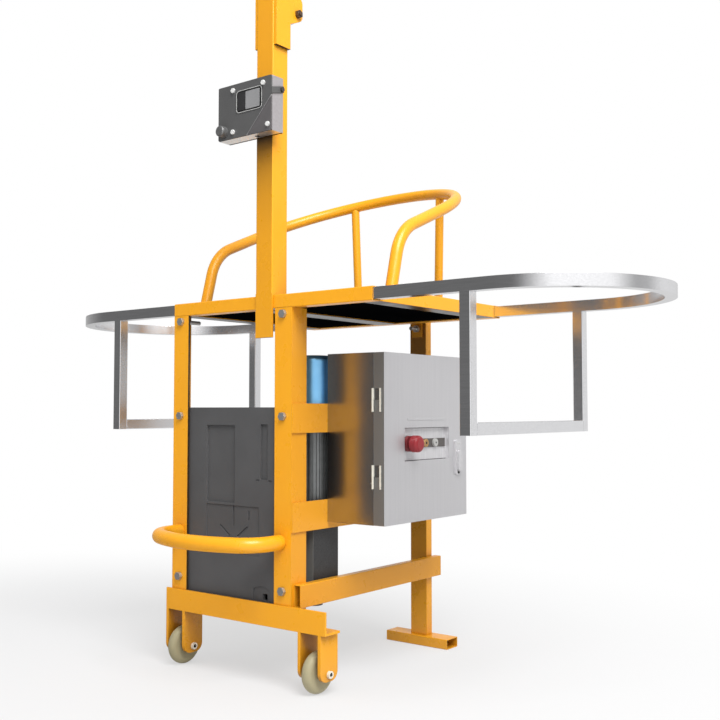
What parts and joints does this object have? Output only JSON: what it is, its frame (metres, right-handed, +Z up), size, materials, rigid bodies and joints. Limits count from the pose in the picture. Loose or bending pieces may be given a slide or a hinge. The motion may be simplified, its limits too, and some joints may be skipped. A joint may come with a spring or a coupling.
{
  "type": "suspended work platform",
  "caption": "Rope-hung work seat on a wheeled stand, with mast and safety lock, rope hoist, control box, footrest, backrest hoop and pull-out side carriers.",
  "frame": {"origin": "middle of the platform's bounding box at floor level", "axes": "+X to the control box side, +Y from the mast to the rear leg, +Z up"},
  "size_m": [1.65, 0.6985, 1.56],
  "materials": {
    "yellow_paint": "gloss",
    "carrier_grey": "satin",
    "seat_black": "matte",
    "box_steel": "satin",
    "hinge_steel": "satin",
    "hoist_grey": "satin",
    "motor_blue": "gloss",
    "lock_grey": "satin",
    "lock_steel": "satin",
    "plate_metal": "satin",
    "zinc": "satin",
    "nylon": "satin",
    "machined_steel": "satin",
    "bronze": "satin",
    "black_plastic": "matte",
    "red_plastic": "gloss",
    "brass_button": "satin",
    "grey_plastic": "satin"
  },
  "bodies": {
    "frame": {"front_beam": "yellow_paint", "rear_beam": "yellow_paint", "left_side_rail": "yellow_paint", "right_side_rail": "yellow_paint", "seat_bearer": "yellow_paint", "mast": "yellow_paint", "mast_cheeks": "yellow_paint", "left_upright": "yellow_paint", "right_upright": "yellow_paint", "base_angle": "yellow_paint", "lower_side_rail": "yellow_paint", "support_bars": "yellow_paint", "rear_leg": "yellow_paint", "foot_bar": "yellow_paint", "left_fork": "yellow_paint", "right_fork": "yellow_paint", "footrest_hoop": "yellow_paint", "backrest_hoop": "yellow_paint", "backrest_posts": "yellow_paint", "left_seat_board": "seat_black", "right_seat_board": "seat_black", "box_shell": "box_steel", "mounting_plate": "box_steel", "box_hinge_posts": "hinge_steel", "hoist_cover": "hoist_grey", "hoist_case": "hoist_grey", "gear_case": "hoist_grey", "motor_housing": "hoist_grey", "motor_cover": "motor_blue", "lock_cover": "lock_grey", "lock_case": "lock_steel", "lock_nameplate": "plate_metal", "frame_bolts": "zinc", "axle_bolts": "zinc", "lock_cover_bolts": "zinc", "hoist_bearings": "machined_steel", "contactors": "black_plastic", "cable_glands": "black_plastic", "terminal_strip": "grey_plastic"},
    "left_wheel": {"left_wheel": "nylon"},
    "right_wheel": {"right_wheel": "nylon"},
    "rope_pulley": {"rope_pulley": "machined_steel"},
    "left_carrier": {"left_carrier_loop": "carrier_grey", "left_carrier_drop": "carrier_grey"},
    "right_carrier": {"right_carrier_loop": "carrier_grey", "right_carrier_drop": "carrier_grey"},
    "lock_knob": {"lock_reset_knob": "machined_steel"},
    "lock_jaw": {"lock_moving_jaw": "lock_steel"},
    "door": {"box_door": "box_steel", "door_hinge_leaves": "hinge_steel", "switch_panel": "box_steel", "switch_strip": "black_plastic", "latch_base": "box_steel"},
    "estop": {"estop_head": "red_plastic"},
    "start_button": {"start_button": "brass_button"},
    "test_button": {"test_button": "grey_plastic"},
    "latch": {"latch_handle": "box_steel"},
    "main_shaft": {"traction_sheave": "machined_steel", "worm_wheel": "bronze"},
    "rotor": {"motor_rotor": "machined_steel"}
  },
  "joints": [
    {"name": "left_wheel_roll", "type": "hinge", "parent": "frame", "child": "left_wheel", "pos_m": [-0.282, -0.18971, 0.045], "axis": [1, 0, 0], "continuous": true},
    {"name": "right_wheel_roll", "type": "hinge", "parent": "frame", "child": "right_wheel", "pos_m": [0.136, -0.18971, 0.045], "axis": [1, 0, 0], "continuous": true},
    {"name": "pulley_turn", "type": "hinge", "parent": "frame", "child": "rope_pulley", "pos_m": [0, -0.14381, 1.5166], "axis": [1, 0, 0], "continuous": true},
    {"name": "left_carrier_slide", "type": "slide", "parent": "frame", "child": "left_carrier", "axis": [-1, 0, 0], "range_m": [0, 0.12]},
    {"name": "right_carrier_slide", "type": "slide", "parent": "frame", "child": "right_carrier", "axis": [1, 0, 0], "range_m": [0, 0.12]},
    {"name": "lock_knob_turn", "type": "hinge", "parent": "frame", "child": "lock_knob", "pos_m": [-0.088, -0.25321, 1.236], "axis": [0, 1, 0], "range_deg": [0, 90]},
    {"name": "lock_jaw_close", "type": "slide", "parent": "frame", "child": "lock_jaw", "axis": [1, 0, 0], "range_m": [0, 0.0045]},
    {"name": "door_swing", "type": "hinge", "parent": "frame", "child": "door", "pos_m": [0.214, -0.09741, 0.5415], "axis": [0, 0, -1], "range_deg": [0, 50]},
    {"name": "estop_press", "type": "slide", "parent": "door", "child": "estop", "axis": [-1, 0, 0], "range_m": [0, 0.006], "stiffness_N_per_m": 600},
    {"name": "start_press", "type": "slide", "parent": "door", "child": "start_button", "axis": [-1, 0, 0], "range_m": [0, 0.003], "stiffness_N_per_m": 400},
    {"name": "test_press", "type": "slide", "parent": "door", "child": "test_button", "axis": [-1, 0, 0], "range_m": [0, 0.003], "stiffness_N_per_m": 400},
    {"name": "latch_turn", "type": "hinge", "parent": "door", "child": "latch", "pos_m": [0.245, 0.20229, 0.4915], "axis": [1, 0, 0], "range_deg": [0, 90]},
    {"name": "rotor_turn", "type": "hinge", "parent": "frame", "child": "rotor", "pos_m": [0.021, -0.06921, 0.49], "axis": [0, 0, 1], "continuous": true},
    {"name": "main_shaft_turn", "type": "hinge", "parent": "frame", "child": "main_shaft", "pos_m": [-0.084, -0.11321, 0.265], "axis": [0, 1, 0], "continuous": true}
  ],
  "couplings": [
    {"joint": "lock_knob_turn", "follows": "lock_jaw_close", "rad_per_m": 349},
    {"joint": "main_shaft_turn", "follows": "rotor_turn", "ratio": 0.02381}
  ]
}
